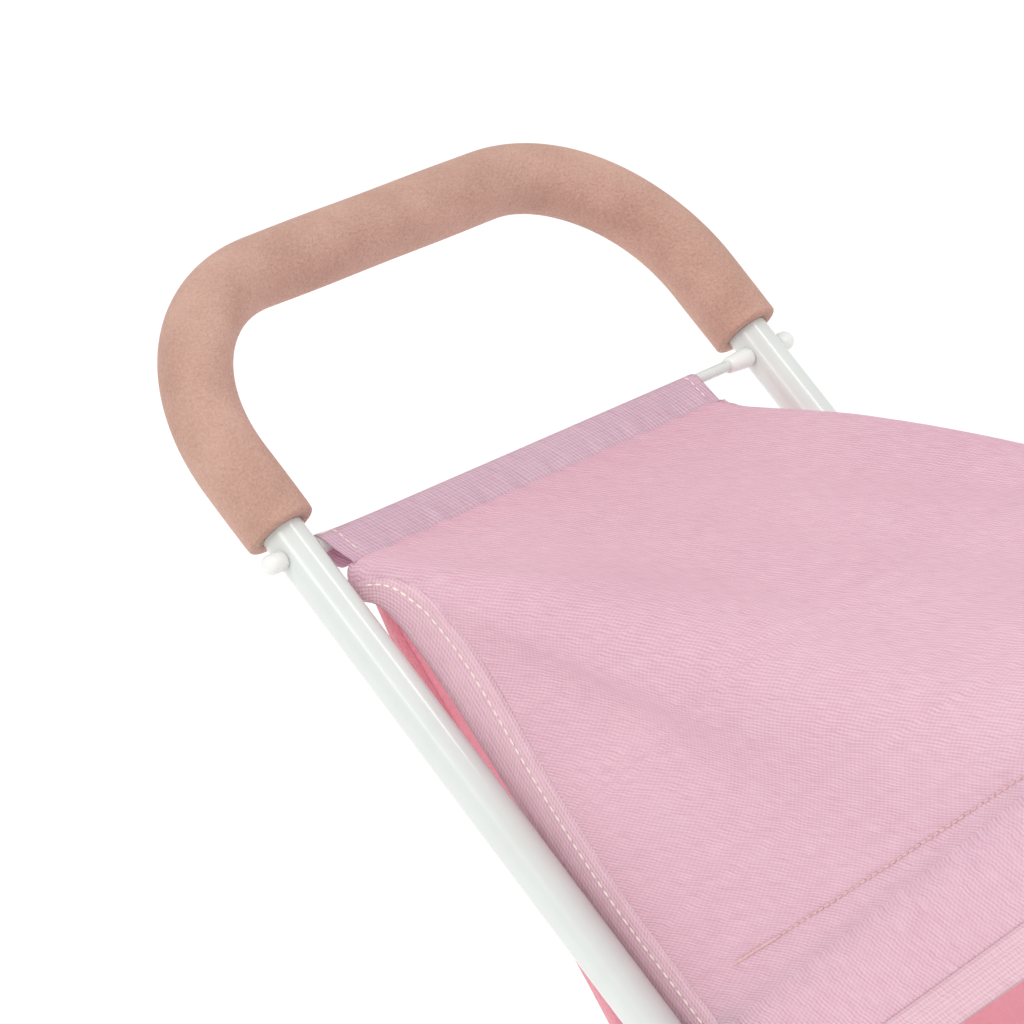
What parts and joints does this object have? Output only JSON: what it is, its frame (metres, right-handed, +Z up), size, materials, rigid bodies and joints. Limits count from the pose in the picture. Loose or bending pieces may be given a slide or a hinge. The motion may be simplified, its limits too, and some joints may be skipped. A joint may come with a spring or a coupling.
{
  "type": "doll stroller",
  "caption": "Folding toy stroller for a doll: U-shaped tube frame with foam grip, scissor rear frame, sling seat, folding canopy, swivelling double front wheels.",
  "frame": {"origin": "on the floor under the middle of the bounding box", "axes": "+Z up, -Y the way the stroller faces and rolls, +X its right side"},
  "size_m": [0.2872, 0.4566, 0.5576],
  "materials": {
    "frame_paint": "gloss white powder coat on steel tube",
    "grip_foam": "matte dusty terracotta pink foam sleeve",
    "white_plastic": "moulded white plastic, satin",
    "hub_plastic": "moulded white wheel hub, satin",
    "fastener_steel": "zinc plated, bright",
    "tyre": "matte soft grey rubber",
    "canopy_twill": "pink satin-sheen twill",
    "seat_cloth": "coral pink plain weave"
  },
  "bodies": {
    "main_frame": {"main_frame_tube": "frame_paint", "foam_grip": "grip_foam", "top_rod": "frame_paint", "rod_cap_left": "white_plastic", "rod_cap_right": "white_plastic", "rod_bush_left": "white_plastic", "rod_bush_right": "white_plastic", "front_cross_tube": "frame_paint", "front_cross_screw_left": "fastener_steel", "front_cross_screw_right": "fastener_steel", "caster_socket_left": "white_plastic", "caster_socket_right": "white_plastic", "fold_rivet_left": "fastener_steel", "fold_rivet_right": "fastener_steel", "fold_spacer_left": "white_plastic", "fold_spacer_right": "white_plastic", "lock_plate_left": "white_plastic", "lock_plate_right": "white_plastic", "lock_screw_left": "fastener_steel", "lock_screw_right": "fastener_steel", "bow_rivet_left": "fastener_steel", "bow_rivet_right": "fastener_steel", "seat_back": "seat_cloth"},
    "rear_frame": {"rear_frame_tube": "frame_paint", "rear_cross_tube": "frame_paint", "rear_cross_screw_left": "fastener_steel", "rear_cross_screw_right": "fastener_steel", "axle_bracket_left": "white_plastic", "axle_bracket_right": "white_plastic", "rear_axle_left": "fastener_steel", "rear_axle_right": "fastener_steel", "lock_stud_left": "fastener_steel", "lock_stud_right": "fastener_steel", "seat_base": "seat_cloth"},
    "canopy": {"canopy_bow": "frame_paint", "bow_knuckle_left": "white_plastic", "bow_knuckle_right": "white_plastic", "canopy_fabric": "canopy_twill"},
    "caster_left": {"caster_fork_left": "white_plastic", "front_axle_left": "fastener_steel"},
    "caster_right": {"caster_fork_right": "white_plastic", "front_axle_right": "fastener_steel"},
    "front_wheels_left": {"front_left_inner_hub": "hub_plastic", "front_left_inner_tyre": "tyre", "front_left_outer_hub": "hub_plastic", "front_left_outer_tyre": "tyre"},
    "front_wheels_right": {"front_right_inner_hub": "hub_plastic", "front_right_inner_tyre": "tyre", "front_right_outer_hub": "hub_plastic", "front_right_outer_tyre": "tyre"},
    "rear_wheels_left": {"rear_left_inner_hub": "hub_plastic", "rear_left_inner_tyre": "tyre", "rear_left_outer_hub": "hub_plastic", "rear_left_outer_tyre": "tyre"},
    "rear_wheels_right": {"rear_right_inner_hub": "hub_plastic", "rear_right_inner_tyre": "tyre", "rear_right_outer_hub": "hub_plastic", "rear_right_outer_tyre": "tyre"}
  },
  "joints": [
    {"name": "frame_fold", "type": "hinge", "parent": "main_frame", "child": "rear_frame", "pos_m": [0, -0.09313, 0.22693], "axis": [-1, 0, 0], "range_deg": [0, 55]},
    {"name": "canopy_fold", "type": "hinge", "parent": "main_frame", "child": "canopy", "pos_m": [0, -0.01764, 0.34896], "axis": [-1, 0, 0], "range_deg": [0, 80], "deforming": ["canopy_fabric"]},
    {"name": "caster_swivel_left", "type": "hinge", "parent": "main_frame", "child": "caster_left", "pos_m": [-0.121, -0.17955, 0.07579], "axis": [0, 0, 1], "continuous": true},
    {"name": "caster_swivel_right", "type": "hinge", "parent": "main_frame", "child": "caster_right", "pos_m": [0.121, -0.17955, 0.07579], "axis": [0, 0, 1], "continuous": true},
    {"name": "front_wheel_spin_left", "type": "hinge", "parent": "caster_left", "child": "front_wheels_left", "pos_m": [-0.121, -0.16155, 0.03569], "axis": [1, 0, 0], "continuous": true},
    {"name": "front_wheel_spin_right", "type": "hinge", "parent": "caster_right", "child": "front_wheels_right", "pos_m": [0.121, -0.16155, 0.03569], "axis": [1, 0, 0], "continuous": true},
    {"name": "rear_wheel_spin_left", "type": "hinge", "parent": "rear_frame", "child": "rear_wheels_left", "pos_m": [-0.104, 0.13045, 0.03569], "axis": [1, 0, 0], "continuous": true},
    {"name": "rear_wheel_spin_right", "type": "hinge", "parent": "rear_frame", "child": "rear_wheels_right", "pos_m": [0.104, 0.13045, 0.03569], "axis": [1, 0, 0], "continuous": true}
  ]
}
